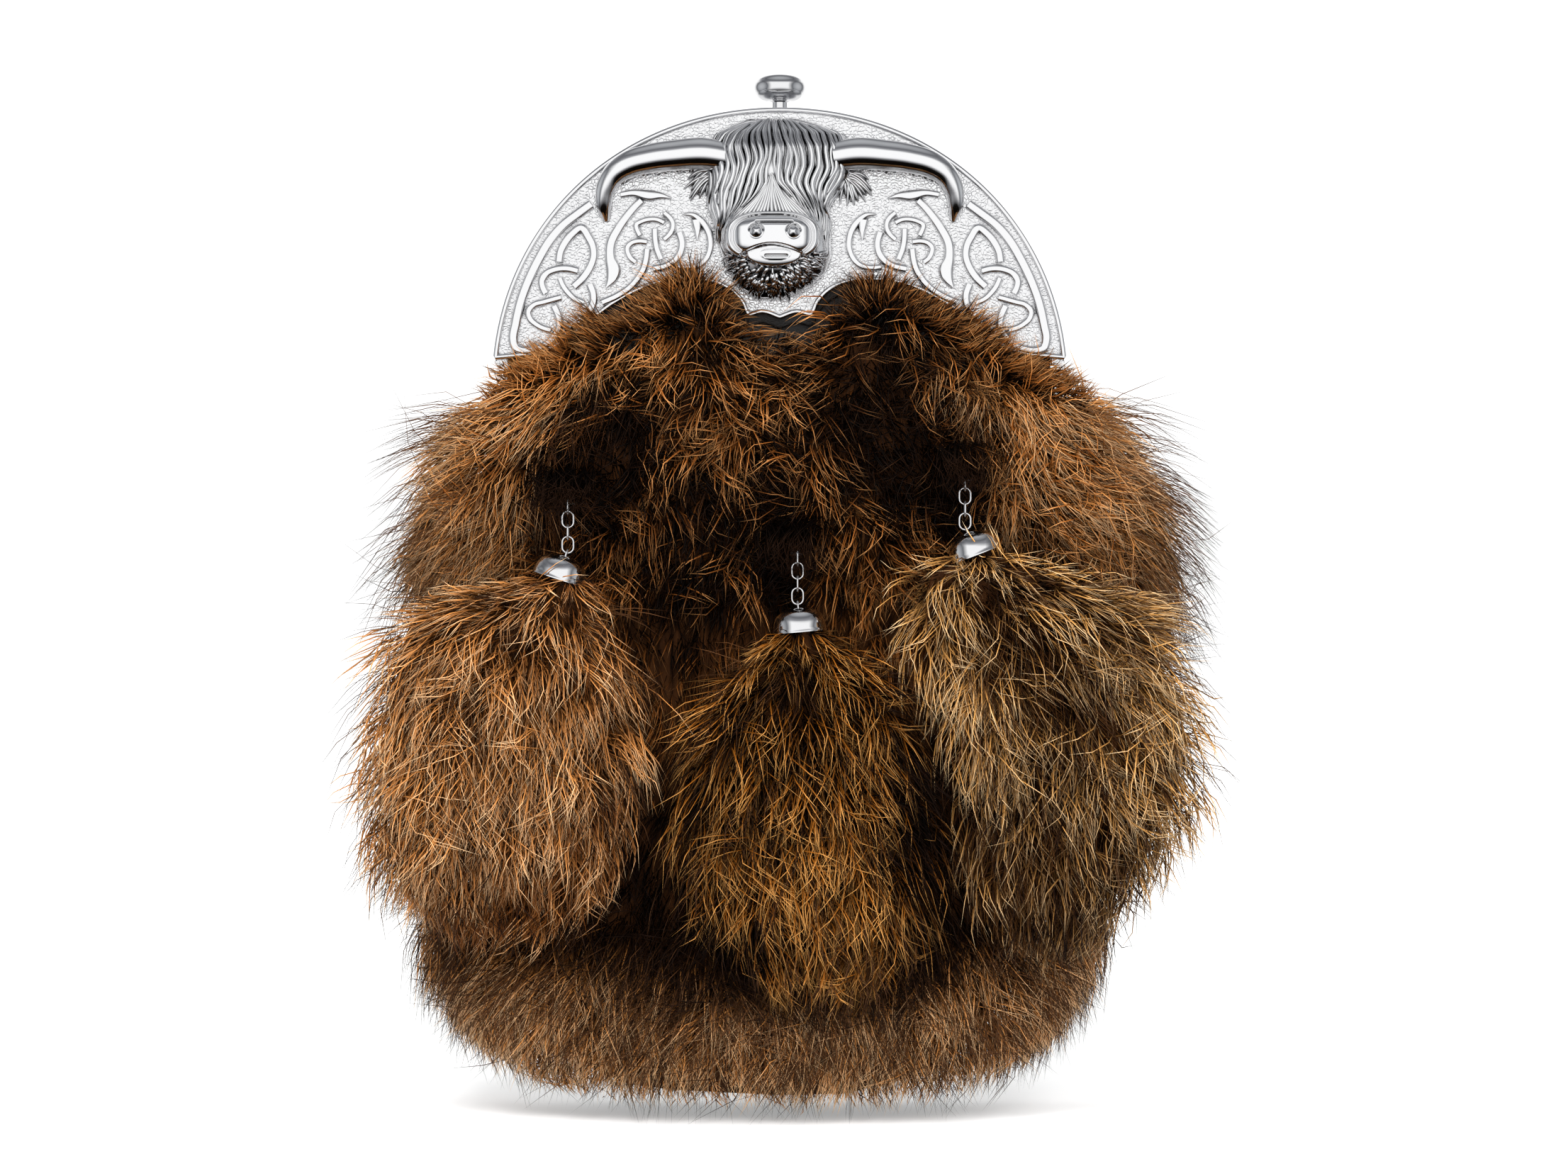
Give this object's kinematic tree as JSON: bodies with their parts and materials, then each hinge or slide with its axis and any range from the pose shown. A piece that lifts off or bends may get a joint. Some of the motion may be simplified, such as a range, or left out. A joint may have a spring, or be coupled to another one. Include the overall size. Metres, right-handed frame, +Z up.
{
  "type": "sporran pouch",
  "caption": "Full-dress fur sporran: cast arched cantle on a metal frame with a ball knob, leather bag under deep fur, and fur tassels hung by short chains under domed bells.",
  "frame": {"origin": "on the floor under the middle of the whole object's box", "axes": "+Z up, -Y towards the front that carries the cantle and tassels, +X to the right seen from the front"},
  "size_m": [0.2164, 0.0732, 0.2736],
  "materials": {
    "chromed_metal": "polished",
    "black_leather": "satin",
    "brown_fur": "long fur"
  },
  "bodies": {
    "sporran": {"cantle_plate": "chromed_metal", "cantle_backing": "black_leather", "frame_front": "chromed_metal", "frame_back": "chromed_metal", "hinge_rivet_left": "chromed_metal", "hinge_rivet_right": "chromed_metal", "pouch_shell": "black_leather", "belt_loop_left": "black_leather", "belt_loop_right": "black_leather", "body_fur": "brown_fur", "staple_left": "chromed_metal", "staple_centre": "chromed_metal", "staple_right": "chromed_metal", "link_left_1": "chromed_metal", "link_left_2": "chromed_metal", "link_left_3": "chromed_metal", "link_left_4": "chromed_metal", "link_centre_1": "chromed_metal", "link_centre_2": "chromed_metal", "link_centre_3": "chromed_metal", "link_centre_4": "chromed_metal", "link_right_1": "chromed_metal", "link_right_2": "chromed_metal", "link_right_3": "chromed_metal", "link_right_4": "chromed_metal", "bell_left": "chromed_metal", "bell_centre": "chromed_metal", "bell_right": "chromed_metal", "tassel_left": "brown_fur", "tassel_centre": "brown_fur", "tassel_right": "brown_fur"},
    "knob": {"knob": "chromed_metal"}
  },
  "joints": [
    {"name": "knob_press", "type": "slide", "parent": "sporran", "child": "knob", "axis": [0, 0, -1], "range_m": [0, 0.0015], "stiffness_N_per_m": 300, "springref_m": -0.002}
  ]
}
